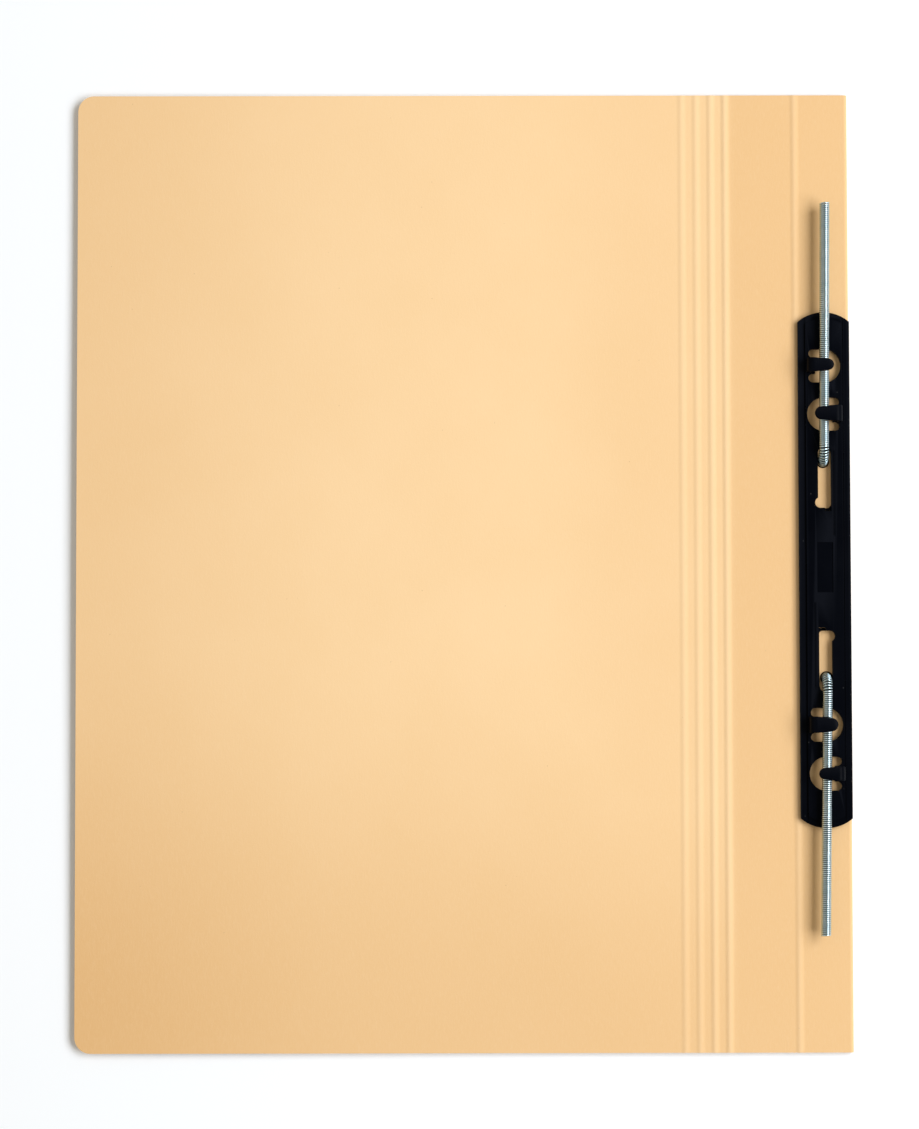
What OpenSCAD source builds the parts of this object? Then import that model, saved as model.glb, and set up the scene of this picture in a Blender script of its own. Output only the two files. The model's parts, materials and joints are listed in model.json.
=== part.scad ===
// Foolscap transfer file: one creased board sheet with a two-prong spring fastener.
// X runs across the opened file, Y along its spine, Z up from the surface it lies on.
// The file lies open, with the back cover folded flat underneath.

/* [Board] */
// Length of the file along its spine
board_h = 355; // [300:1:380]
// Thickness of the board
board_t = 0.5; // [0.4:0.05:0.6]
// Width of the front cover
front_w = 224.4; // [190:0.2:240]
// Width of the back cover
back_w = 220; // [190:1:230]
// Width of each narrow expansion strip
strip_w = 5.4; // [4.5:0.1:8]
// Width of the spine panel
spine_w = 25.8; // [15:0.2:38]
// Width of the filing strip that carries the fastener
filing_w = 20.2; // [19.6:0.2:30]
// Radius of the covers' outer corners
corner_r = 6; // [2:0.5:15]
// Outside height of the fold between the filing strip and the back cover
fold_h = 2.5; // [2.5:0.1:4]

/* [Creases] */
// Width of a crease's raised bead
bead_w = 2; // [1.4:0.1:2.4]
// Height of the bead above the board
bead_rise = 0.3; // [0.2:0.05:0.4]

/* [Prongs] */
// Distance between the two spring prongs
prong_pitch = 80; // [80:1:108]
// Outside diameter of the spring
prong_d = 3.9; // [3.5:0.1:4.2]
// Inside diameter of the spring
prong_bore = 2.7; // [2.3:0.1:2.9]
// Length of the straight part that lies on the bar and past its end
prong_l = 90.4; // [60:0.2:95]
// How much shorter the lower prong is
lower_short = 1.2; // [0:0.2:4]
// Upper prong's sideways lean, in degrees
upper_lean = -0.5; // [-1.2:0.1:1.2]
// Lower prong's sideways lean, in degrees
lower_lean = -0.8; // [-1.2:0.1:1.2]

/* [Compressor bar] */
// How far the whole fastener sits above the middle of the file
bar_y = 0.3; // [-2:0.1:2]
// Length of the bar
bar_l = 191; // [180:0.2:200]
// Width of the bar
bar_w = 19.1; // [17:0.1:19.1]
// Height of the bar's raised middle
bar_t = 2.4; // [2:0.1:3]
// Height of the lower ledge along each side
ledge_t = 1.7; // [1.2:0.1:1.9]
// Width of that ledge
ledge_w = 2.35; // [1.5:0.05:2.4]
// Radius of the bar's round ends
end_r = 14.6; // [12:0.2:30]
// Distance from the bar's middle to its outer windows
outer_window = 75.5; // [72:0.5:78]
// Distance from the bar's middle to its inner windows
inner_window = 57.5; // [57:0.5:60]

/* [Tongues] */
// Width of the outer tongues
outer_tongue_w = 5.2; // [4:0.1:5.6]
// Width of the inner tongues
inner_tongue_w = 6; // [5:0.1:6.2]
// Thickness of a tongue
tongue_t = 1.1; // [0.8:0.1:1.4]

/* [Hidden] */
SIDES = ["upper", "lower"];
$fn = 64;
manila = [0.93, 0.79, 0.58];
plastic = [0.09, 0.10, 0.12];
steel = [0.75, 0.77, 0.80];

// The sheet, from its right-hand fold leftwards, and its crease lines
total_w = front_w + 3 * strip_w + spine_w + filing_w;
right_x = total_w / 2;
crease_5 = right_x - filing_w;
crease_4 = crease_5 - spine_w;
crease_3 = crease_4 - strip_w;
crease_2 = crease_3 - strip_w;
crease_1 = crease_2 - strip_w;
sheet_z = fold_h - board_t;
fold_x = right_x - board_t / 2;
// The bead is a slice of this round, and a panel starts clear of it beyond each crease
bead_r = ((bead_w / 2) ^ 2 + bead_rise ^ 2) / (2 * bead_rise);
bead_foot = sqrt(bead_r ^ 2 - (bead_r - bead_rise - board_t / 2) ^ 2);
panel_gap = bead_foot + 0.15;
fold_gap = board_t / 2 + 0.1;

// The carrier under the filing strip
bar_x = right_x - bar_w / 2;
base_t = 1.2;
base_w = 12;
base_z = sheet_z - base_t;
socket_z = base_z + 0.4;
stud_top = sheet_z + 0.4;
hole_r = 2.35;

// The bar, and the heights of what lies on it
bar_z = fold_h + 0.5;
bar_top = bar_z + bar_t;
slot_w = 4.9;
slot_in = 22.7;
slot_out = prong_pitch / 2 + 5.4;
window_r = 6.3;
groove_w = 0.4;
arm_z = bar_top + 0.15 + prong_d / 2;
tongue_z = arm_z + prong_d / 2 + 0.2;
foot_x = 6.55;
foot_w = 1.8;
foot_gap = 0.1;
knuckle_r = 0.3;

// The bend rises from the root and turns to lie level on the bar
root_top = sheet_z;
bend_r = arm_z - root_top;
arm_gap = 0.3;
upper_root_x = -0.35;
lower_root_x = 0.4;

// A flat stretch of the sheet between two X positions
module sheet(x_low, x_high, z) {
    translate([x_low, -board_h / 2, z]) cube([x_high - x_low, board_h, board_t]);
}

// A cover, with its two corners on the left rounded
module cover(x_low, x_high, z) {
    translate([0, 0, z]) linear_extrude(board_t) {
        translate([x_low + corner_r, -board_h / 2]) square([x_high - x_low - corner_r, board_h]);
        translate([x_low, corner_r - board_h / 2]) square([2 * corner_r, board_h - 2 * corner_r]);
        for (s = [-1, 1]) translate([x_low + corner_r, s * (board_h / 2 - corner_r)]) circle(corner_r);
    }
}

// A shape drawn in X and Z, extruded along Y about the middle
module along_y(length) {
    rotate([90, 0, 0]) linear_extrude(length, center = true) children();
}

// The raised bead along a crease, from the sheet's middle plane up, over the crease's round edge
module bead(x) {
    translate([x, 0, sheet_z + board_t / 2]) along_y(board_h) {
        intersection() {
            translate([0, bead_rise + board_t / 2 - bead_r]) circle(bead_r, $fn = 96);
            translate([-bead_w, 0]) square([2 * bead_w, bead_w]);
        }
        circle(board_t / 2);
    }
}

module front_cover() {
    color(manila) cover(-right_x, crease_1 - panel_gap, sheet_z);
}

// A strip from its own crease on the left to the crease on its right
module creased_panel(x_left, x_right) {
    color(manila) {
        sheet(x_left, x_right - panel_gap, sheet_z);
        bead(x_left);
    }
}

module filing_strip() {
    color(manila) difference() {
        union() {
            sheet(crease_5, fold_x, sheet_z);
            bead(crease_5);
            translate([fold_x, 0, sheet_z + board_t / 2]) along_y(board_h) circle(board_t / 2);
        }
        at_roots() cylinder(r = hole_r, h = 2 * fold_h);
    }
}

module back_fold() {
    color(manila) {
        translate([right_x - board_t, -board_h / 2, board_t / 2])
            cube([board_t, board_h, sheet_z - fold_gap]);
        translate([fold_x, 0, board_t / 2]) along_y(board_h) circle(board_t / 2);
    }
}

module back_cover() {
    color(manila) cover(right_x - back_w, fold_x - fold_gap, 0);
}

// The carrier: a flat bar with a socket and a stud for each spring
module base_bar() {
    color(plastic) {
        difference() {
            translate([bar_x, bar_y, base_z]) linear_extrude(base_t) {
                square([base_w, prong_pitch + base_w / 2], center = true);
                for (s = [-1, 1]) translate([0, s * (prong_pitch / 2 + base_w / 4)]) circle(base_w / 2);
            }
            at_roots() translate([0, 0, socket_z]) cylinder(d = prong_d + 0.1, h = base_t);
        }
        at_roots() translate([0, 0, socket_z]) cylinder(d = prong_bore - 0.1, h = stud_top - socket_z);
    }
}

// Both prongs' root positions
module at_roots() {
    translate([bar_x + upper_root_x, bar_y + prong_pitch / 2, 0]) children();
    translate([bar_x + lower_root_x, bar_y - prong_pitch / 2, 0]) children();
}

// The bar's outline, set in by a margin
module bar_outline(margin) {
    end_y = bar_l / 2 - end_r;
    intersection() {
        square([bar_w - 2 * margin, bar_l], center = true);
        union() {
            square([2 * end_r, 2 * end_y], center = true);
            for (s = [-1, 1]) translate([0, s * end_y]) circle(end_r - margin, $fn = 128);
        }
    }
}

// A slot for a prong, with a bulge on the left of its inner end
module keyhole() {
    corner = 1.6;
    bulge = 2;
    translate([-slot_w / 2, slot_in + corner]) square([slot_w, slot_out - slot_in - corner - slot_w / 2]);
    translate([0, slot_out - slot_w / 2]) circle(slot_w / 2);
    translate([slot_w / 2 - corner, slot_in + corner]) circle(corner);
    translate([-1.55, slot_in + bulge]) circle(bulge);
    translate([-1.55, slot_in]) square([1.55 + slot_w / 2 - corner, bulge]);
}

// A window round a tongue whose root is on the left
module window() {
    intersection() {
        circle(window_r);
        translate([-3.2, -window_r]) square(2 * window_r);
    }
    for (s = [-1, 1]) translate([0, s * 4.55]) {
        translate([-4.05, 0]) circle(1.65);
        translate([-4.05, -1.65]) square([4.05, 3.3]);
    }
}

// Everything cut in one half of the bar
module bar_cuts() {
    translate([0, 0, -1]) linear_extrude(2 * bar_t) {
        keyhole();
        translate([0, outer_window]) window();
        translate([0, inner_window]) rotate(180) window();
    }
    // Ramp that lets the prong lean into its slot
    translate([-slot_w / 2, slot_in + slot_w / 2, 0.6]) rotate([10, 0, 0]) mirror([0, 1, 0])
        translate([2.4, 0, 0]) cube([slot_w - 2.4, 12.5, bar_t]);
    // Groove along the ledge's step
    for (x = [-1, 1]) translate([x * (bar_w / 2 - ledge_w - groove_w / 2) - groove_w / 2, 0, ledge_t - 0.3])
        cube([groove_w, bar_l, bar_t]);
}

module compressor_bar() {
    color(plastic) translate([bar_x, bar_y, bar_z]) {
        difference() {
            union() {
                linear_extrude(ledge_t) bar_outline(0);
                linear_extrude(bar_t) bar_outline(ledge_w);
            }
            for (turn = [0, 180]) rotate(turn) bar_cuts();
            // Blank sunk label in the middle
            translate([0, 0.7, bar_t]) cube([5.9, 18.5, 0.6], center = true);
        }
        // Fine rib beside each slot
        for (turn = [0, 180]) rotate(turn) translate([3.4, 12.4, bar_t - 0.2]) cube([0.5, 31.6, 0.45]);
    }
}

// A tongue in the bar's frame, rooted on the left and reaching over the spring to the right
module tongue(width, tip_x) {
    tip_w = width - 1;
    foot_z = bar_top + foot_gap;
    color(plastic) intersection() {
        along_y(2 * width) {
            translate([knuckle_r - foot_x, foot_z + knuckle_r]) circle(knuckle_r);
            translate([knuckle_r - foot_x, foot_z]) square([foot_w - knuckle_r, tongue_z - foot_z]);
            translate([-foot_x, foot_z + knuckle_r]) square([foot_w, tongue_z - foot_z - knuckle_r]);
            translate([tongue_t - foot_x, tongue_z]) circle(tongue_t);
            translate([tongue_t - foot_x, tongue_z]) square([foot_x + tip_x - tongue_t, tongue_t]);
            translate([tongue_t - foot_x, tongue_z - 1]) square([foot_w - tongue_t, 1 + tongue_t / 2]);
        }
        linear_extrude(2 * tongue_z) {
            polygon([
                [-2 * foot_x, -width / 2],
                [-foot_x + foot_w, -width / 2],
                [tip_x - tip_w / 2, -tip_w / 2],
                [tip_x - tip_w / 2, tip_w / 2],
                [-foot_x + foot_w, width / 2],
                [-2 * foot_x, width / 2]
            ]);
            translate([tip_x - tip_w / 2, 0]) circle(tip_w / 2);
        }
    }
}

// A tongue's place: side is 0 for the upper half of the bar and 180 for the lower
module outer_tongue(side) {
    translate([bar_x, bar_y, 0]) rotate(side) translate([0, outer_window, 0]) tongue(outer_tongue_w, 3.3);
}

module inner_tongue(side) {
    translate([bar_x, bar_y, 0]) rotate(side) translate([0, inner_window, 0]) rotate(180)
        tongue(inner_tongue_w, 3.9);
}

// A prong's own frame: its root upright on Z, the prong reaching along +Y
module prong_frame(side) {
    if (side == "upper") translate([bar_x + upper_root_x, bar_y + prong_pitch / 2, 0])
        rotate(upper_lean) children();
    else translate([bar_x + lower_root_x, bar_y - prong_pitch / 2, 0])
        rotate(180 + lower_lean) children();
}

// The spring's cross-section
module ring() {
    difference() {
        circle(d = prong_d);
        circle(d = prong_bore);
    }
}

module spring_root(side) {
    color(steel) prong_frame(side) translate([0, 0, socket_z]) linear_extrude(root_top - socket_z) ring();
}

// The bend that lays the prong down over the bar
module spring_bend(side) {
    color(steel) prong_frame(side) translate([0, bend_r, root_top]) rotate([90, 0, -90])
        rotate_extrude(angle = 90) translate([bend_r, 0]) ring();
}

module spring_arm(side) {
    color(steel) prong_frame(side) translate([0, bend_r + arm_gap, arm_z]) rotate([-90, 0, 0])
        linear_extrude(prong_l - arm_gap - (side == "lower" ? lower_short : 0)) ring();
}

front_cover();
creased_panel(crease_1, crease_2);  // strip_1
creased_panel(crease_2, crease_3);  // strip_2
creased_panel(crease_3, crease_4);  // strip_3
creased_panel(crease_4, crease_5);  // spine_panel
filing_strip();
back_fold();
back_cover();
base_bar();
compressor_bar();
outer_tongue(0);  // upper_outer_tongue
inner_tongue(0);  // upper_inner_tongue
outer_tongue(180);  // lower_outer_tongue
inner_tongue(180);  // lower_inner_tongue
for (side = SIDES) {
    spring_root(side);
    spring_bend(side);
    spring_arm(side);
}
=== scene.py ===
import json
import math

import bmesh
import bpy
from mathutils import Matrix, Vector, noise


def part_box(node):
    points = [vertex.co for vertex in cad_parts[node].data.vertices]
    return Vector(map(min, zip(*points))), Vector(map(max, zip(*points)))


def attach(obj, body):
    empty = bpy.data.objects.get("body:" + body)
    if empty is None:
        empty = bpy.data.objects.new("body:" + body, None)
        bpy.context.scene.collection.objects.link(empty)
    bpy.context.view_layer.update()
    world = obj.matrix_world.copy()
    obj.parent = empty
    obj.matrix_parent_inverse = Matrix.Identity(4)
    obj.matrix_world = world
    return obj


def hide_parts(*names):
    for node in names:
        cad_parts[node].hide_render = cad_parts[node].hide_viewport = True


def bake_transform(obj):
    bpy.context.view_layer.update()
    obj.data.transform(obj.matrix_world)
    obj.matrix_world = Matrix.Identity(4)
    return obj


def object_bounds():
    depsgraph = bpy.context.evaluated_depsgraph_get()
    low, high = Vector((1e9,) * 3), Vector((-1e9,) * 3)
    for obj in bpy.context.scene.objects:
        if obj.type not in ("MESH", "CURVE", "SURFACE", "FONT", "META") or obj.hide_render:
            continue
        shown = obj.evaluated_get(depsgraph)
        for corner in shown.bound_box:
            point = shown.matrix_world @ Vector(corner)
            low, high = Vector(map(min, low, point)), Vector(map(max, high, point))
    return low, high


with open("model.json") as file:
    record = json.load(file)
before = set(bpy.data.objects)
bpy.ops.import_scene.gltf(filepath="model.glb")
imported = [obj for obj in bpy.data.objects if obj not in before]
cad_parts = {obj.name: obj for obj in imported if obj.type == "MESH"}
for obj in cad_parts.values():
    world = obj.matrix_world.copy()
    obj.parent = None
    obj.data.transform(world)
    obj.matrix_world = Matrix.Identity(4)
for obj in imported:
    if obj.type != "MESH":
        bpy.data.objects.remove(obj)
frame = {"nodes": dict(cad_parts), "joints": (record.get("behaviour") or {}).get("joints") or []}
cadLow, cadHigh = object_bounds()
mm = 0.001
jointAt = {j["name"]: Vector(j.get("pos_m") or (0, 0, 0)) for j in frame["joints"]}
jointAxis = {j["name"]: Vector(j["axis"]) for j in frame["joints"]}
print("frame loaded, joints:", len(jointAt))


def addNode(tree, kind, settings=None, **inputs):
    # one node, with its plain settings and its input values or links
    node = tree.nodes.new(kind)
    for key, value in (settings or {}).items():
        setattr(node, key, value)
    for key, value in inputs.items():
        socket = findSocket(node.inputs, key)
        if isinstance(value, bpy.types.NodeSocket):
            tree.links.new(value, socket)
        else:
            socket.default_value = value
    return node


def findSocket(sockets, key):
    # "A_Color" stands for "A Color", and "in0" for the first input
    if key.startswith("in") and key[2:].isdigit():
        return sockets[int(key[2:])]
    return sockets[key.replace("_", " ")]


def newGroup(name, inputs, outputs):
    group = bpy.data.node_groups.new(name, "ShaderNodeTree")
    for label, kind, value in inputs:
        socket = group.interface.new_socket(label, in_out="INPUT", socket_type=kind)
        socket.default_value = value
    for label, kind in outputs:
        group.interface.new_socket(label, in_out="OUTPUT", socket_type=kind)
    entry = group.nodes.new("NodeGroupInput")
    leave = group.nodes.new("NodeGroupOutput")
    return group, entry, leave


def useGroup(tree, group, **values):
    return addNode(tree, "ShaderNodeGroup", {"node_tree": group}, **values)


def mathNode(tree, operation, *values):
    return addNode(tree, "ShaderNodeMath", {"operation": operation},
                   **{"in%d" % i: v for i, v in enumerate(values)}).outputs[0]


def mixColour(tree, amount, first, second, mode="MIX"):
    node = addNode(tree, "ShaderNodeMix", {"data_type": "RGBA", "blend_type": mode})
    for socket, value in zip((node.inputs[0], node.inputs[6], node.inputs[7]), (amount, first, second)):
        if isinstance(value, bpy.types.NodeSocket):
            tree.links.new(value, socket)
        else:
            socket.default_value = value
    return node.outputs[2]


def remap(tree, value, low, high, outLow, outHigh):
    return addNode(tree, "ShaderNodeMapRange", {}, Value=value, From_Min=low, From_Max=high,
                   To_Min=outLow, To_Max=outHigh).outputs[0]


def softStep(tree, value, low, high, amount=1.0):
    return addNode(tree, "ShaderNodeMapRange", {"interpolation_type": "SMOOTHSTEP"}, Value=value,
                   From_Min=low, From_Max=high, To_Max=amount).outputs[0]


def makeGrainGroup():
    # broad and fine unevenness, each from 0 to 1
    group, entry, leave = newGroup(
        "surfaceGrain",
        [("Vector", "NodeSocketVector", (0, 0, 0)), ("Broad Scale", "NodeSocketFloat", 30.0),
         ("Fine Scale", "NodeSocketFloat", 900.0)],
        [("Broad", "NodeSocketFloat"), ("Fine", "NodeSocketFloat")])
    broad = addNode(group, "ShaderNodeTexNoise", {}, Vector=entry.outputs["Vector"],
                    Scale=entry.outputs["Broad Scale"], Detail=5.0, Roughness=0.55)
    fine = addNode(group, "ShaderNodeTexNoise", {}, Vector=entry.outputs["Vector"],
                   Scale=entry.outputs["Fine Scale"], Detail=3.0, Roughness=0.6)
    group.links.new(remap(group, broad.outputs["Fac"], 0.3, 0.7, 0.0, 1.0), leave.inputs["Broad"])
    group.links.new(remap(group, fine.outputs["Fac"], 0.25, 0.75, 0.0, 1.0), leave.inputs["Fine"])
    return group


def makeSpecksGroup():
    # small separate spots, such as dust on plastic and bran in board
    group, entry, leave = newGroup(
        "scatteredSpecks",
        [("Vector", "NodeSocketVector", (0, 0, 0)), ("Scale", "NodeSocketFloat", 200.0),
         ("Size", "NodeSocketFloat", 0.12), ("Share", "NodeSocketFloat", 0.1)],
        [("Mask", "NodeSocketFloat")])
    cell = addNode(group, "ShaderNodeTexVoronoi", {"feature": "F1"}, Vector=entry.outputs["Vector"],
                   Scale=entry.outputs["Scale"])
    spot = mathNode(group, "LESS_THAN", cell.outputs["Distance"], entry.outputs["Size"])
    pick = addNode(group, "ShaderNodeSeparateColor", {}, Color=cell.outputs["Color"])
    chosen = mathNode(group, "LESS_THAN", pick.outputs[0], entry.outputs["Share"])
    group.links.new(mathNode(group, "MULTIPLY", spot, chosen), leave.inputs["Mask"])
    return group


def makeEdgeGroup():
    # 1 along convex edges that hands and desks rub
    group, entry, leave = newGroup(
        "edgeRub",
        [("Start", "NodeSocketFloat", 0.52), ("End", "NodeSocketFloat", 0.6)],
        [("Mask", "NodeSocketFloat")])
    shape = group.nodes.new("ShaderNodeNewGeometry")
    rub = addNode(group, "ShaderNodeMapRange", {}, Value=shape.outputs["Pointiness"],
                  From_Min=entry.outputs["Start"], From_Max=entry.outputs["End"])
    group.links.new(rub.outputs[0], leave.inputs["Mask"])
    return group


grainGroup = makeGrainGroup()
specksGroup = makeSpecksGroup()
edgeGroup = makeEdgeGroup()


def newMaterial(name):
    material = bpy.data.materials.new(name)
    material.use_nodes = True
    tree = material.node_tree
    tree.nodes.clear()
    place = tree.nodes.new("ShaderNodeTexCoord").outputs["Object"]
    shader = tree.nodes.new("ShaderNodeBsdfPrincipled")
    output = tree.nodes.new("ShaderNodeOutputMaterial")
    tree.links.new(shader.outputs[0], output.inputs[0])
    return material, tree, place, shader


def coverWith(tree, mask, share, under, over):
    # lays a colour over another where the mask shows, at the given share
    return mixColour(tree, mathNode(tree, "MULTIPLY", mask, share), under, over)


def roughen(tree, shader, variation, limits):
    tree.links.new(remap(tree, variation, 0.0, 1.0, *limits), shader.inputs["Roughness"])


def addBump(tree, shader, height, distance, strength):
    bump = addNode(tree, "ShaderNodeBump", {}, Height=height, Distance=distance, Strength=strength)
    tree.links.new(bump.outputs[0], shader.inputs["Normal"])


boardLook = {
    "light": (0.91, 0.635, 0.348, 1),
    "dark": (0.89, 0.612, 0.325, 1),
    "darkTone": (0.74, 0.445, 0.190, 1),
    "fibre": (0.93, 0.71, 0.45, 1),
    # the darker, browner colour, also used for the painted shade over the spine panel
    "bran": (0.46, 0.29, 0.15, 1),
    "leftEdge": (0.03, 0.15, 0.36),    # darkening towards each edge: where it starts, where it is full, and how much
    "lowEdge": (0.02, 0.17, 0.60),
    "topEdge": (0.06, 0.20, 0.06),
    "creased": (0.02, 0.07, 0.26),     # darker towards the creases
    # painted shade over the spine panel, which tilts away from the light and lies beside the bar
    "spine": (0.094, 0.102, 0.66),
    "cloudScale": 22.0,
    "toothScale": 1400.0,
    "fibreScale": (2600.0, 420.0, 1200.0),   # long strands, along the creases
    "fibreShow": 0.12,
    "branShow": 0.35,
    "beadHighlight": 0.2,                 # how much paler the crease beads are painted, a painted highlight along each bead
    "toothDepth": 0.04 * mm,
    "roughness": (0.70, 0.86),
    "gloss": 0.25,
}


def boardToneAndShade(tree, place):
    # how much darker and browner the board is, by where it is on the opened sheet, with painted shade over
    # the spine panel beside the bar
    look = boardLook
    split = addNode(tree, "ShaderNodeSeparateXYZ", {}, Vector=place)
    x, y = split.outputs[0], split.outputs[1]
    leftward = softStep(tree, mathNode(tree, "MULTIPLY", x, -1.0), *look["leftEdge"])
    downward = softStep(tree, mathNode(tree, "MULTIPLY", y, -1.0), *look["lowEdge"])
    upward = softStep(tree, y, *look["topEdge"])
    creased = softStep(tree, x, *look["creased"])
    # painted shade over the tilted spine panel beside the bar, joined with the darkening towards the creases
    creasedAndSpineShade = mathNode(tree, "MAXIMUM", creased, softStep(tree, x, *look["spine"]))
    edges = mathNode(tree, "ADD", mathNode(tree, "ADD", leftward, downward), upward)
    return mathNode(tree, "MINIMUM", mathNode(tree, "MAXIMUM", edges, creasedAndSpineShade), 1.0)


def makeBoardMaterial():
    # pulpy manila: cloudy colour, fibres along the grain, a little bran, a faint tooth
    look = boardLook
    material, tree, place, shader = newMaterial("manilaBoard")
    grain = useGroup(tree, grainGroup, Vector=place, Broad_Scale=look["cloudScale"],
                     Fine_Scale=look["toothScale"])
    stretched = addNode(tree, "ShaderNodeMapping", {}, Vector=place, Scale=look["fibreScale"])
    fibre = addNode(tree, "ShaderNodeTexNoise", {}, Vector=stretched.outputs[0], Scale=1.0, Detail=4.0,
                    Roughness=0.65, Distortion=0.8)
    strands = remap(tree, fibre.outputs["Fac"], 0.45, 0.72, 0.0, 1.0)
    bran = useGroup(tree, specksGroup, Vector=place, Scale=260.0, Size=0.055, Share=0.05)
    ridge = addNode(tree, "ShaderNodeAttribute", {"attribute_name": "ridge"}).outputs["Fac"]
    clouds = mixColour(tree, grain.outputs["Broad"], look["dark"], look["light"])
    # darker and browner towards the edges and creases, and painted shade over the spine panel
    darkened = mixColour(tree, boardToneAndShade(tree, place), clouds, look["darkTone"])
    fibred = coverWith(tree, strands, look["fibreShow"], darkened, look["fibre"])
    specked = coverWith(tree, bran.outputs[0], look["branShow"], fibred, look["bran"])
    # painted highlight along the top of each crease bead
    colour = coverWith(tree, ridge, look["beadHighlight"], specked, look["fibre"])
    tree.links.new(colour, shader.inputs["Base Color"])
    roughen(tree, shader, grain.outputs["Fine"], look["roughness"])
    tooth = mathNode(tree, "ADD", mathNode(tree, "MULTIPLY", strands, 0.6), grain.outputs["Fine"])
    addBump(tree, shader, tooth, look["toothDepth"], 0.35)
    shader.inputs["Specular IOR Level"].default_value = look["gloss"]
    return material


plasticLook = {
    "colour": (0.0010, 0.0014, 0.0028, 1),
    "faded": (0.0019, 0.0025, 0.0044, 1),
    "rubbed": (0.0065, 0.0075, 0.0110, 1),
    "dust": (0.08, 0.08, 0.08, 1),
    "cloudScale": 60.0,
    "grainScale": 1800.0,
    "grainDepth": 0.03 * mm,
    "rubbedFrom": 0.54,          # sharpness of an edge where the rubbing starts, and where it is full
    "rubbedTo": 0.68,
    "rubShow": 0.7,
    "dustShow": 0.4,
    "roughness": (0.23, 0.33),
    "sheen": 0.02,
}


def makePlasticMaterial():
    # moulded black polypropylene with a slight sheen, rubbed edges and a few grains of dust
    look = plasticLook
    material, tree, place, shader = newMaterial("blackMouldedPlastic")
    grain = useGroup(tree, grainGroup, Vector=place, Broad_Scale=look["cloudScale"],
                     Fine_Scale=look["grainScale"])
    dust = useGroup(tree, specksGroup, Vector=place, Scale=700.0, Size=0.14, Share=0.035)
    rub = useGroup(tree, edgeGroup, Start=look["rubbedFrom"], End=look["rubbedTo"])
    base = mixColour(tree, grain.outputs["Broad"], look["colour"], look["faded"])
    masked = coverWith(tree, rub.outputs[0], look["rubShow"], base, look["rubbed"])
    dusty = coverWith(tree, dust.outputs[0], look["dustShow"], masked, look["dust"])
    tree.links.new(dusty, shader.inputs["Base Color"])
    roughen(tree, shader, grain.outputs["Broad"], look["roughness"])
    addBump(tree, shader, grain.outputs["Fine"], look["grainDepth"], 0.3)
    shader.inputs["Specular IOR Level"].default_value = look["sheen"]
    return material


steelLook = {
    "bright": (0.74, 0.88, 0.92, 1),
    "dull": (0.55, 0.70, 0.75, 1),
    "grooveShade": (0.20, 0.27, 0.29, 1),   # painted shade between the turns
    "crest": (0.62, 0.90),             # where the painted shade between the turns ends and the plated colour of the crest is full
    "patchScale": 240.0,
    "drawnScale": 4000.0,
    "drawnDepth": 0.004 * mm,
    "roughness": (0.27, 0.17),         # of the dull patches and of the bright ones
}


def makeSteelMaterial():
    # bright zinc on drawn wire, duller in patches, with painted shade between the turns
    look = steelLook
    material, tree, place, shader = newMaterial("zincPlatedWire")
    grain = useGroup(tree, grainGroup, Vector=place, Broad_Scale=look["patchScale"],
                     Fine_Scale=look["drawnScale"])
    plated = mixColour(tree, grain.outputs["Broad"], look["dull"], look["bright"])
    facing = addNode(tree, "ShaderNodeAttribute", {"attribute_name": "crest"}).outputs["Fac"]
    crest = softStep(tree, facing, *look["crest"])
    # painted shade between the turns, on all but the outermost line of each turn
    tree.links.new(mixColour(tree, crest, look["grooveShade"], plated), shader.inputs["Base Color"])
    roughen(tree, shader, grain.outputs["Broad"], look["roughness"])
    addBump(tree, shader, grain.outputs["Fine"], look["drawnDepth"], 0.2)
    shader.inputs["Metallic"].default_value = 1.0
    return material


board = makeBoardMaterial()
plastic = makePlasticMaterial()
steel = makeSteelMaterial()
print("materials made")


def toObject(name, mesh, material):
    # the mesh as an object at the origin, in one material
    thing = bpy.data.objects.new(name, mesh)
    bpy.context.scene.collection.objects.link(thing)
    mesh.materials.clear()
    mesh.materials.append(material)
    return thing


def bakeModifiers(thing):
    # the finished shape as a plain mesh
    bpy.context.view_layer.update()
    shape = thing.evaluated_get(bpy.context.evaluated_depsgraph_get())
    mesh = bpy.data.meshes.new_from_object(shape)
    thing.modifiers.clear()
    old = thing.data
    thing.data = mesh
    bpy.data.meshes.remove(old)
    return thing


def finishPiece(thing, slotName, *nodes):
    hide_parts(*nodes)


sheetSettings = {
    "thickness": 0.5 * mm,
    "beadLeft": 1.4 * mm,        # where a crease's raised bead starts, peaks and ends
    "beadPeak": 0.35 * mm,
    "beadRight": 2.4 * mm,
    "beadRise": {1: 0.20 * mm, 2: 0.23 * mm, 3: 0.28 * mm, 4: 0.32 * mm, 5: 0.26 * mm},   # by crease
    "beadSteps": 24,
    "bendHalf": 1.7 * mm,        # how far each side of a crease the board bends
    "underShare": 0.6,           # how much of a bead's rise the underside has
    "cornerRadius": 6.0 * mm,
    "holeRadius": 2.35 * mm,     # round each prong
    "rows": 72,                  # faces along a crease
    "flatStep": 6 * mm,          # longest face across a panel
    "backStep": 12 * mm,
    "foldSteps": 12,
    "wave": 0.10 * mm,           # gentle unevenness of the lying sheet
    "bow": 0.9 * mm,             # lift of the front cover's free edge
    "edgeRound": 0.09 * mm,
}
creaseX = {k: jointAt["crease_%d" % k].x for k in (1, 2, 3, 4)}
creaseX[5] = jointAt["spine_hinge"].x
sheetMiddle = jointAt["spine_hinge"].z
halfHeight = cadHigh.y
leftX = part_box("front_cover")[0].x
rightX = cadHigh.x
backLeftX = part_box("back_cover")[0].x
foldRadius = (sheetMiddle - jointAt["fold_bottom"].z) / 2
foldCentre = Vector((rightX - foldRadius - sheetSettings["thickness"] / 2, 0, sheetMiddle - foldRadius))


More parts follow.
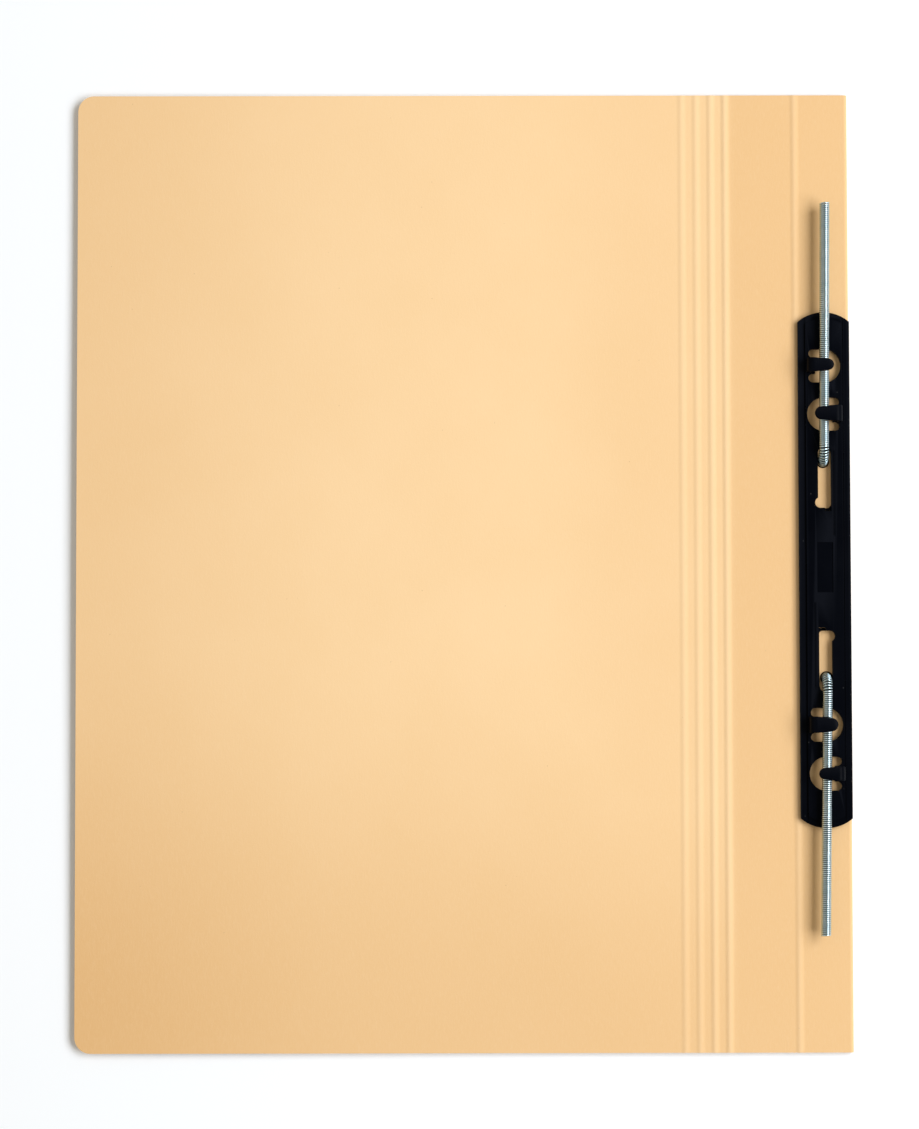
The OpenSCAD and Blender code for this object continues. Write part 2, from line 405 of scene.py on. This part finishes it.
def sheetWave(x, y):
    # soft waves that die out under the fastener, and the cover's slight bow
    s = sheetSettings
    calm = min(1.0, max(0.0, (creaseX[5] - x) / (20 * mm)))
    ripple = noise.noise(Vector((x * 14, y * 9, 0.3))) * s["wave"] * calm
    reach = max(0.0, (creaseX[1] - x) / (creaseX[1] - leftX))
    return ripple + s["bow"] * reach ** 2 * (0.75 + 0.25 * math.cos(math.pi * y / halfHeight))


def beadHeight(x):
    # a smooth bump over each crease, a little steeper on its left
    s = sheetSettings
    rise = 0.0
    for crease, at in creaseX.items():
        off = x - at - s["beadPeak"]
        width = s["beadRight"] - s["beadPeak"] if off > 0 else s["beadLeft"] + s["beadPeak"]
        if abs(off) < width:
            rise += s["beadRise"][crease] * (0.5 + 0.5 * math.cos(math.pi * off / width))
    return rise


def spread(first, final, step):
    # even positions from first to final, about a step apart
    count = max(1, round(abs(final - first) / step))
    return [first + (final - first) * i / count for i in range(count + 1)]


def panelStations(xLeft, xRight):
    # x positions across a panel: wide steps on the flat, fine ones over each bead
    s = sheetSettings
    marks = [xLeft, xRight]
    for at in creaseX.values():
        wide, steps = s["beadLeft"] + s["beadRight"], s["beadSteps"]
        fine = [at - s["beadLeft"] + wide * k / steps for k in range(steps + 1)]
        marks += [x for x in fine + [at - s["bendHalf"], at + s["bendHalf"]] if xLeft < x < xRight]
    if xLeft == leftX:
        marks += [xLeft + s["cornerRadius"] * (1 - math.cos(math.radians(a))) for a in range(10, 91, 10)]
    marks = sorted(set(round(x, 7) for x in marks))
    stations = []
    for a, b in zip(marks, marks[1:]):
        stations += spread(a, b, s["flatStep"])[:-1]
    return stations + [marks[-1]]


def halfWidthAt(distance):
    # half the sheet's height at a distance in from a cover's rounded free edge
    r = sheetSettings["cornerRadius"]
    if distance >= r:
        return halfHeight
    return halfHeight - r + math.sqrt(max(0.0, r * r - (r - distance) ** 2))


def sheetMesh(name, profile, openEnds):
    # profile: (top point, bottom point, half height) in XZ for each station, in order along the sheet
    bm = bmesh.new()
    ridge = bm.verts.layers.float.new("ridge")
    rows = sheetSettings["rows"]
    top, under = [], []
    for upper, lower, half in profile:
        top.append([])
        under.append([])
        for j in range(rows + 1):
            y = half * (2 * j / rows - 1)
            lift = sheetWave(upper[0], y) if upper[1] > foldCentre.z else 0.0
            top[-1].append(bm.verts.new((upper[0], y, upper[1] + lift)))
            if upper[1] > foldCentre.z:
                top[-1][-1][ridge] = beadHeight(upper[0]) / max(sheetSettings["beadRise"].values())
            under[-1].append(bm.verts.new((lower[0], y, lower[1] + lift)))
    last = len(profile) - 1
    for i in range(last):
        for j in range(rows):
            bm.faces.new((top[i][j], top[i + 1][j], top[i + 1][j + 1], top[i][j + 1]))
            bm.faces.new((under[i][j], under[i][j + 1], under[i + 1][j + 1], under[i + 1][j]))
        for j, order in ((0, 1), (rows, -1)):
            ring = (top[i][j], under[i][j], under[i + 1][j], top[i + 1][j])
            bm.faces.new(ring[::order])
    for i, order in ((0, 1), (last, -1)):
        for j in range(rows):
            ring = (top[i][j], top[i][j + 1], under[i][j + 1], under[i][j])
            bm.faces.new(ring[::order])
    # round the cut edges only, not the joins between panels
    weight = bm.edges.layers.float.new("bevel_weight_edge")
    joins = {v for i, shut in ((0, openEnds[0]), (last, openEnds[1])) if shut for v in top[i] + under[i]}
    for edge in bm.edges:
        if len(edge.link_faces) == 2 and edge.calc_face_angle(0) > 1.0:
            if not (edge.verts[0] in joins and edge.verts[1] in joins):
                edge[weight] = 1.0
    bmesh.ops.recalc_face_normals(bm, faces=bm.faces)
    mesh = bpy.data.meshes.new(name)
    bm.to_mesh(mesh)
    bm.free()
    return mesh


def boardPiece(name, profile, openEnds):
    thing = toObject(name, sheetMesh(name, profile, openEnds), board)
    bevel = thing.modifiers.new("cutEdge", "BEVEL")
    bevel.limit_method = "WEIGHT"
    bevel.width = sheetSettings["edgeRound"]
    bevel.segments = 2
    return thing


def flatProfile(xLeft, xRight):
    half = sheetSettings["thickness"] / 2
    profile = []
    for x in panelStations(xLeft, xRight):
        edge = halfWidthAt(x - leftX) if xLeft == leftX else halfHeight
        rise = beadHeight(x)
        under = rise * sheetSettings["underShare"]
        profile.append(((x, sheetMiddle + half + rise), (x, sheetMiddle - half + under), edge))
    return profile


def foldProfile(start, stop):
    # an arc of the fold, by angle from straight up towards +X
    half = sheetSettings["thickness"] / 2
    steps = sheetSettings["foldSteps"]
    arc = []
    for i in range(steps + 1):
        a = math.radians(start + (stop - start) * i / steps)
        out = (math.sin(a), math.cos(a))
        outer = tuple(c + (foldRadius + half) * o for c, o in zip((foldCentre.x, foldCentre.z), out))
        inner = tuple(c + (foldRadius - half) * o for c, o in zip((foldCentre.x, foldCentre.z), out))
        arc.append((outer, inner, halfHeight))
    return arc


def backProfile():
    # the folded-under cover, outer face down
    half = sheetSettings["thickness"] / 2
    z = jointAt["fold_bottom"].z
    r = sheetSettings["cornerRadius"]
    marks = [backLeftX + r * (1 - math.cos(math.radians(a))) for a in range(0, 91, 10)]
    marks += spread(marks[-1], foldCentre.x, sheetSettings["backStep"])[1:-1]
    return [((x, z - half), (x, z + half), halfWidthAt(x - backLeftX)) for x in reversed(marks)]


def bendAcross(thing):
    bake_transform(thing)


def makeBoard():
    reach = sheetSettings["bendHalf"]
    nodes = ["front_cover", "strip_1", "strip_2", "strip_3", "spine_panel"]
    names = ["frontCoverBoard", "stripBoard1", "stripBoard2", "stripBoard3", "spineBoard"]
    edge = leftX
    for k, (name, node) in enumerate(zip(names, nodes)):
        at = creaseX[k + 1]
        thing = bakeModifiers(boardPiece(name, flatProfile(edge, at + reach), (k > 0, True)))
        bendAcross(thing)
        finishPiece(thing, "manila_board", node)
        edge = at + reach
    makeFilingStrip(edge)
    makeBackCover()


def makeFilingStrip(edge):
    profile = flatProfile(edge, foldCentre.x) + foldProfile(0, 90)[1:]
    thing = boardPiece("filingStripBoard", profile, (True, True))
    for side in ("upper", "lower"):
        low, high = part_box(side + "_spring_root")
        at = ((low.x + high.x) / 2, (low.y + high.y) / 2, sheetMiddle)
        bpy.ops.mesh.primitive_cylinder_add(vertices=48, radius=sheetSettings["holeRadius"], depth=4 * mm,
                                            location=at)
        punch = bpy.context.object
        hole = thing.modifiers.new("prongHole", "BOOLEAN")
        hole.object = punch
        hole.solver = "EXACT"
        bakeModifiers(thing)
        bpy.data.objects.remove(punch)
    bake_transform(thing)
    finishPiece(thing, "manila_board", "filing_strip")


def makeBackCover():
    profile = foldProfile(90, 180) + backProfile()
    thing = bakeModifiers(boardPiece("backCoverBoard", profile, (True, False)))
    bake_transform(thing)
    finishPiece(thing, "manila_board", "back_fold", "back_cover")


makeBoard()
print("board made")


springSettings = {
    "outerDiameter": 3.9 * mm,
    "wireDiameter": 0.7 * mm,
    "rootTurns": 1,
    "bendTurns": 10,
    "armPitch": 0.75 * mm,
    "stepsPerTurn": 24,
    "wireSides": 10,
    "arcSteps": 24,
    "turnsBetween": (0.18, 0.82),   # the shares of the bend between which it straightens
}


def buildCoilTree():
    # winds a wire round a path
    tree = bpy.data.node_groups.new("coilAlongPath", "GeometryNodeTree")
    tree.interface.new_socket("Path", in_out="INPUT", socket_type="NodeSocketGeometry")
    for label, kind in (("Coil Radius", "NodeSocketFloat"), ("Wire Radius", "NodeSocketFloat"),
                        ("Turns", "NodeSocketInt"), ("Steps Per Turn", "NodeSocketInt"),
                        ("Wire Sides", "NodeSocketInt"), ("Side Axis", "NodeSocketVector"),
                        ("Finish", "NodeSocketMaterial")):
        tree.interface.new_socket(label, in_out="INPUT", socket_type=kind)
    tree.interface.new_socket("Coil", in_out="OUTPUT", socket_type="NodeSocketGeometry")
    entry = tree.nodes.new("NodeGroupInput").outputs
    count = mathNode(tree, "MULTIPLY_ADD", entry["Turns"], entry["Steps Per Turn"], 1.0)
    line = addNode(tree, "GeometryNodeMeshToCurve", {}, Mesh=entry["Path"])
    even = addNode(tree, "GeometryNodeResampleCurve", {"mode": "COUNT"}, Curve=line.outputs[0], Count=count)
    along = tree.nodes.new("GeometryNodeSplineParameter").outputs["Factor"]
    angle = mathNode(tree, "MULTIPLY", mathNode(tree, "MULTIPLY", along, entry["Turns"]), math.tau)
    tangent = tree.nodes.new("GeometryNodeInputTangent").outputs[0]
    across = addNode(tree, "ShaderNodeVectorMath", {"operation": "CROSS_PRODUCT"},
                     in0=tangent, in1=entry["Side Axis"]).outputs[0]
    sideways = addNode(tree, "ShaderNodeVectorMath", {"operation": "SCALE"}, in0=entry["Side Axis"],
                       Scale=mathNode(tree, "COSINE", angle)).outputs[0]
    upward = addNode(tree, "ShaderNodeVectorMath", {"operation": "SCALE"}, in0=across,
                     Scale=mathNode(tree, "SINE", angle)).outputs[0]
    unit = addNode(tree, "ShaderNodeVectorMath", {"operation": "ADD"}, in0=sideways, in1=upward).outputs[0]
    offset = addNode(tree, "ShaderNodeVectorMath", {"operation": "SCALE"}, in0=unit,
                     Scale=entry["Coil Radius"]).outputs[0]
    marked = addNode(tree, "GeometryNodeStoreNamedAttribute", {"data_type": "FLOAT_VECTOR"},
                     Geometry=even.outputs[0], Name="outward", Value=unit)
    helix = addNode(tree, "GeometryNodeSetPosition", {}, Geometry=marked.outputs[0], Offset=offset)
    section = addNode(tree, "GeometryNodeCurvePrimitiveCircle", {}, Resolution=entry["Wire Sides"],
                      Radius=entry["Wire Radius"])
    wire = addNode(tree, "GeometryNodeCurveToMesh", {}, Curve=helix.outputs[0],
                   Profile_Curve=section.outputs[0], Fill_Caps=True)
    # 1 on the outermost line of each turn, for the painted shade between the turns
    outward = addNode(tree, "GeometryNodeInputNamedAttribute", {"data_type": "FLOAT_VECTOR"}, Name="outward")
    facing = addNode(tree, "ShaderNodeVectorMath", {"operation": "DOT_PRODUCT"},
                     in0=tree.nodes.new("GeometryNodeInputNormal").outputs[0], in1=outward.outputs[0])
    masked = addNode(tree, "GeometryNodeStoreNamedAttribute", {"data_type": "FLOAT"},
                   Geometry=wire.outputs[0], Name="crest", Value=facing.outputs["Value"])
    smooth = addNode(tree, "GeometryNodeSetShadeSmooth", {}, Geometry=masked.outputs[0])
    real = addNode(tree, "GeometryNodeRealizeInstances", {}, Geometry=smooth.outputs[0])
    painted = addNode(tree, "GeometryNodeSetMaterial", {}, Geometry=real.outputs[0], Material=entry["Finish"])
    leave = tree.nodes.new("NodeGroupOutput")
    tree.links.new(painted.outputs[0], leave.inputs[0])
    return tree


def setInput(modifier, label, value):
    for item in modifier.node_group.interface.items_tree:
        if item.item_type == "SOCKET" and item.in_out == "INPUT" and item.name == label:
            modifier[item.identifier] = value


coilTree = buildCoilTree()


def coilPiece(name, path, turns, sideAxis):
    mesh = bpy.data.meshes.new(name)
    mesh.from_pydata([tuple(p) for p in path], [(i, i + 1) for i in range(len(path) - 1)], [])
    thing = toObject(name, mesh, steel)
    s = springSettings
    coil = thing.modifiers.new("coil", "NODES")
    coil.node_group = coilTree
    setInput(coil, "Coil Radius", (s["outerDiameter"] - s["wireDiameter"]) / 2)
    setInput(coil, "Wire Radius", s["wireDiameter"] / 2)
    setInput(coil, "Turns", turns)
    setInput(coil, "Steps Per Turn", s["stepsPerTurn"])
    setInput(coil, "Wire Sides", s["wireSides"])
    setInput(coil, "Side Axis", tuple(sideAxis))
    setInput(coil, "Finish", steel)
    bakeModifiers(thing)
    return thing


def makeProng(side):
    # an upright root, a quarter turn that lays the prong down, and a straight arm
    s = springSettings
    axis = jointAxis[side + "_prong_bend"].normalized()
    up = Vector((0, 0, 1))
    outward = up.cross(axis)
    low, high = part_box(side + "_spring_root")
    foot = Vector(((low.x + high.x) / 2, (low.y + high.y) / 2, 0))
    armLow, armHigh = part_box(side + "_spring_arm")
    armZ = (armLow.z + armHigh.z) / 2
    radius = armZ - high.z

    root = coilPiece(side + "SpringRoot", [foot + up * low.z, foot + up * high.z], s["rootTurns"], axis)
    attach(root, "filing_strip")
    finishPiece(root, "spring_steel", side + "_spring_root")

    arc = []
    for step in range(s["arcSteps"] + 1):
        a = math.pi / 2 * step / s["arcSteps"]
        arc.append(foot + outward * radius * (1 - math.cos(a)) + up * (high.z + radius * math.sin(a)))
    bend = coilPiece(side + "SpringBend", arc, s["bendTurns"], axis)
    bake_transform(bend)
    finishPiece(bend, "spring_steel", side + "_spring_bend")

    tipY = armHigh.y if outward.y > 0 else armLow.y
    tip = arc[-1] + outward * ((tipY - arc[-1].y) / outward.y)
    turns = round((tip - arc[-1]).length / s["armPitch"])
    arm = coilPiece(side + "SpringArm", [arc[-1], tip], turns, axis)
    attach(arm, side + "_prong")
    finishPiece(arm, "spring_steel", side + "_spring_arm")


for side in ("upper", "lower"):
    makeProng(side)
print("prongs wound")


barSettings = {
    "edgeRound": 0.22 * mm,
    "roundSegments": 2,
    "sharpAngle": 35,            # degrees; edges sharper than this are rounded
    "mergeWithin": 0.002 * mm,
}


def makeBar():
    mesh = frame["nodes"]["compressor_bar"].data.copy()
    thing = toObject("compressorBar", mesh, plastic)
    bm = bmesh.new()
    bm.from_mesh(mesh)
    bmesh.ops.remove_doubles(bm, verts=bm.verts, dist=barSettings["mergeWithin"])
    bmesh.ops.dissolve_limit(bm, angle_limit=math.radians(0.5), verts=bm.verts, edges=bm.edges)
    bm.to_mesh(mesh)
    bm.free()
    bevel = thing.modifiers.new("mouldedEdge", "BEVEL")
    bevel.limit_method = "ANGLE"
    bevel.angle_limit = math.radians(barSettings["sharpAngle"])
    bevel.width = barSettings["edgeRound"]
    bevel.segments = barSettings["roundSegments"]
    bevel.use_clamp_overlap = True
    bakeModifiers(thing)
    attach(thing, "bar")
    finishPiece(thing, "black_plastic", "compressor_bar")


tongueSettings = {
    "footHalf": 0.9 * mm,        # half the foot's thickness
    "bladeHalf": 0.55 * mm,
    "cornerRound": 0.3 * mm,
    "crown": 1.9 * mm,           # radius of the turn from foot to blade
    "sink": 0.5 * mm,            # how far the foot goes down into the bar
    "taper": 0.5 * mm,           # how much narrower each side of the tip is
    "step": 1 * mm,
    "tipAngles": (20, 38, 54, 68, 79, 86),
    "tipThinning": 0.25,
}


def crossSection(halfWide, halfThick, corner):
    # a rounded rectangle as (across, through) pairs
    corner = min(corner, halfWide * 0.95, halfThick * 0.95)
    ring = []
    for sx, sy, start in ((1, 1, 0), (-1, 1, 90), (-1, -1, 180), (1, -1, 270)):
        for step in range(4):
            a = math.radians(start + 30 * step)
            ring.append((sx * (halfWide - corner) + corner * math.cos(a),
                         sy * (halfThick - corner) + corner * math.sin(a)))
    return ring


def tonguePiece(name, node):
    # an upright foot that turns over into a blade with a rounded tip
    s = tongueSettings
    low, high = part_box(node)
    hinge = jointAt[node.replace("_tongue", "_flex")]
    toTip = 1 if abs(low.x - hinge.x) < abs(high.x - hinge.x) else -1
    rootHalf = (high.y - low.y) / 2
    tipHalf = rootHalf - s["taper"]
    length = high.x - low.x
    bladeZ = high.z - s["bladeHalf"]
    turn = s["crown"]
    # each station: distance from the root's outer side, height, lean in degrees, half width and thickness
    stations = []
    for z in spread(low.z - s["sink"], bladeZ - turn, s["step"]):
        stations.append((s["footHalf"], z, 0, rootHalf, s["footHalf"]))
    for a in range(15, 91, 15):
        rad = math.radians(a)
        thick = s["footHalf"] + (s["bladeHalf"] - s["footHalf"]) * a / 90
        stations.append((s["footHalf"] + turn * (1 - math.cos(rad)), bladeZ - turn + turn * math.sin(rad), a,
                         rootHalf, thick))
    startX = stations[-1][0]
    roundX = length - tipHalf
    for x in spread(startX, roundX, s["step"])[1:]:
        wide = rootHalf + (tipHalf - rootHalf) * (x - startX) / (roundX - startX)
        stations.append((x, bladeZ, 90, wide, s["bladeHalf"]))
    for a in s["tipAngles"]:
        rad = math.radians(a)
        stations.append((roundX + tipHalf * math.sin(rad), bladeZ, 90, tipHalf * math.cos(rad),
                         s["bladeHalf"] * (1 - s["tipThinning"] * a / 90)))
    rootX = low.x if toTip > 0 else high.x
    bm = bmesh.new()
    rings = []
    for x, z, lean, wide, thick in stations:
        a = math.radians(lean)
        ring = []
        for across, through in crossSection(wide, thick, s["cornerRound"]):
            dx = x - through * math.cos(a)
            dz = z + through * math.sin(a)
            ring.append(bm.verts.new((rootX + toTip * dx, hinge.y + across, dz)))
        rings.append(ring)
    for a, b in zip(rings, rings[1:]):
        for i in range(len(a)):
            j = (i + 1) % len(a)
            bm.faces.new((a[i], a[j], b[j], b[i]))
    bm.faces.new(rings[0])
    bm.faces.new(rings[-1])
    bmesh.ops.recalc_face_normals(bm, faces=bm.faces)
    for face in bm.faces:
        face.smooth = len(face.verts) == 4
    mesh = bpy.data.meshes.new(name)
    bm.to_mesh(mesh)
    bm.free()
    thing = toObject(name, mesh, plastic)
    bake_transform(thing)
    finishPiece(thing, "black_plastic", node)


makeBar()
for side in ("upper", "lower"):
    for place in ("outer", "inner"):
        tongueNode = "%s_%s_tongue" % (side, place)
        tonguePiece("%s%sTongue" % (side, place.capitalize()), tongueNode)
frame["nodes"]["base_bar"].data.materials.clear()
frame["nodes"]["base_bar"].data.materials.append(plastic)
print("bar and tongues made")


studio = {
    "floor": (0.955, 0.975, 0.99, 1),
    "floorShade": (0.82, 0.84, 0.87, 1),
    "floorSize": 6,
    "softboxes": {
        # place, size, power and colour of each
        "keyLight": ((1.4, 0.1, 1.5), (2.2, 1.1), 50, (0.95, 0.985, 1.05)),
        "fillLight": ((-1.5, 0.4, 1.7), (2.4, 2.4), 7, (1.0, 0.94, 0.86)),
    },
    "worldColour": (0.96, 0.92, 0.82, 1),
    "worldStrength": 0.37,
    "cameraHeight": 1.3,
    "focalLength": 111.9,
    "tilt": 3.2,
    "roll": -0.10,
    "aim": (-1.55 * mm, 2.4 * mm),
}


def makeFloor():
    bpy.ops.mesh.primitive_plane_add(size=studio["floorSize"], location=(0, 0, cadLow.z))
    floor = bpy.context.object
    floor.name = "floor"
    material, tree, place, shader = newMaterial("paleFloor")
    grain = useGroup(tree, grainGroup, Vector=place, Broad_Scale=3.0, Fine_Scale=400.0)
    tint = coverWith(tree, grain.outputs["Broad"], 0.06, studio["floor"], studio["floorShade"])
    tree.links.new(tint, shader.inputs["Base Color"])
    shader.inputs["Roughness"].default_value = 0.8
    floor.data.materials.append(material)


def addSoftbox(name, place, size, power, colour):
    # a soft light that faces the middle of the floor
    data = bpy.data.lights.new(name, "AREA")
    data.shape = "RECTANGLE"
    data.size, data.size_y = size
    data.energy = power
    data.color = colour
    lamp = bpy.data.objects.new(name, data)
    lamp.location = place
    lamp.rotation_euler = (-Vector(place)).to_track_quat("-Z", "Y").to_euler()
    bpy.context.scene.collection.objects.link(lamp)


def makeStudio():
    makeFloor()
    for name, values in studio["softboxes"].items():
        addSoftbox(name, *values)
    world = bpy.data.worlds.new("studioWorld")
    bpy.context.scene.world = world
    world.use_nodes = True
    sky = world.node_tree.nodes["Background"]
    sky.inputs[0].default_value = studio["worldColour"]
    sky.inputs[1].default_value = studio["worldStrength"]
    bpy.context.scene.view_settings.view_transform = "Standard"


def makeCamera():
    data = bpy.data.cameras.new("camera")
    data.lens = studio["focalLength"]
    camera = bpy.data.objects.new("camera", data)
    tilt = math.radians(studio["tilt"])
    x, y = studio["aim"]
    camera.location = (x, y - studio["cameraHeight"] * math.sin(tilt),
                       sheetMiddle + studio["cameraHeight"] * math.cos(tilt))
    camera.rotation_euler = (tilt, 0, math.radians(studio["roll"]))
    data.clip_start, data.clip_end = 0.05, 20
    bpy.context.scene.collection.objects.link(camera)
    bpy.context.scene.camera = camera


makeStudio()
makeCamera()
print("studio ready")
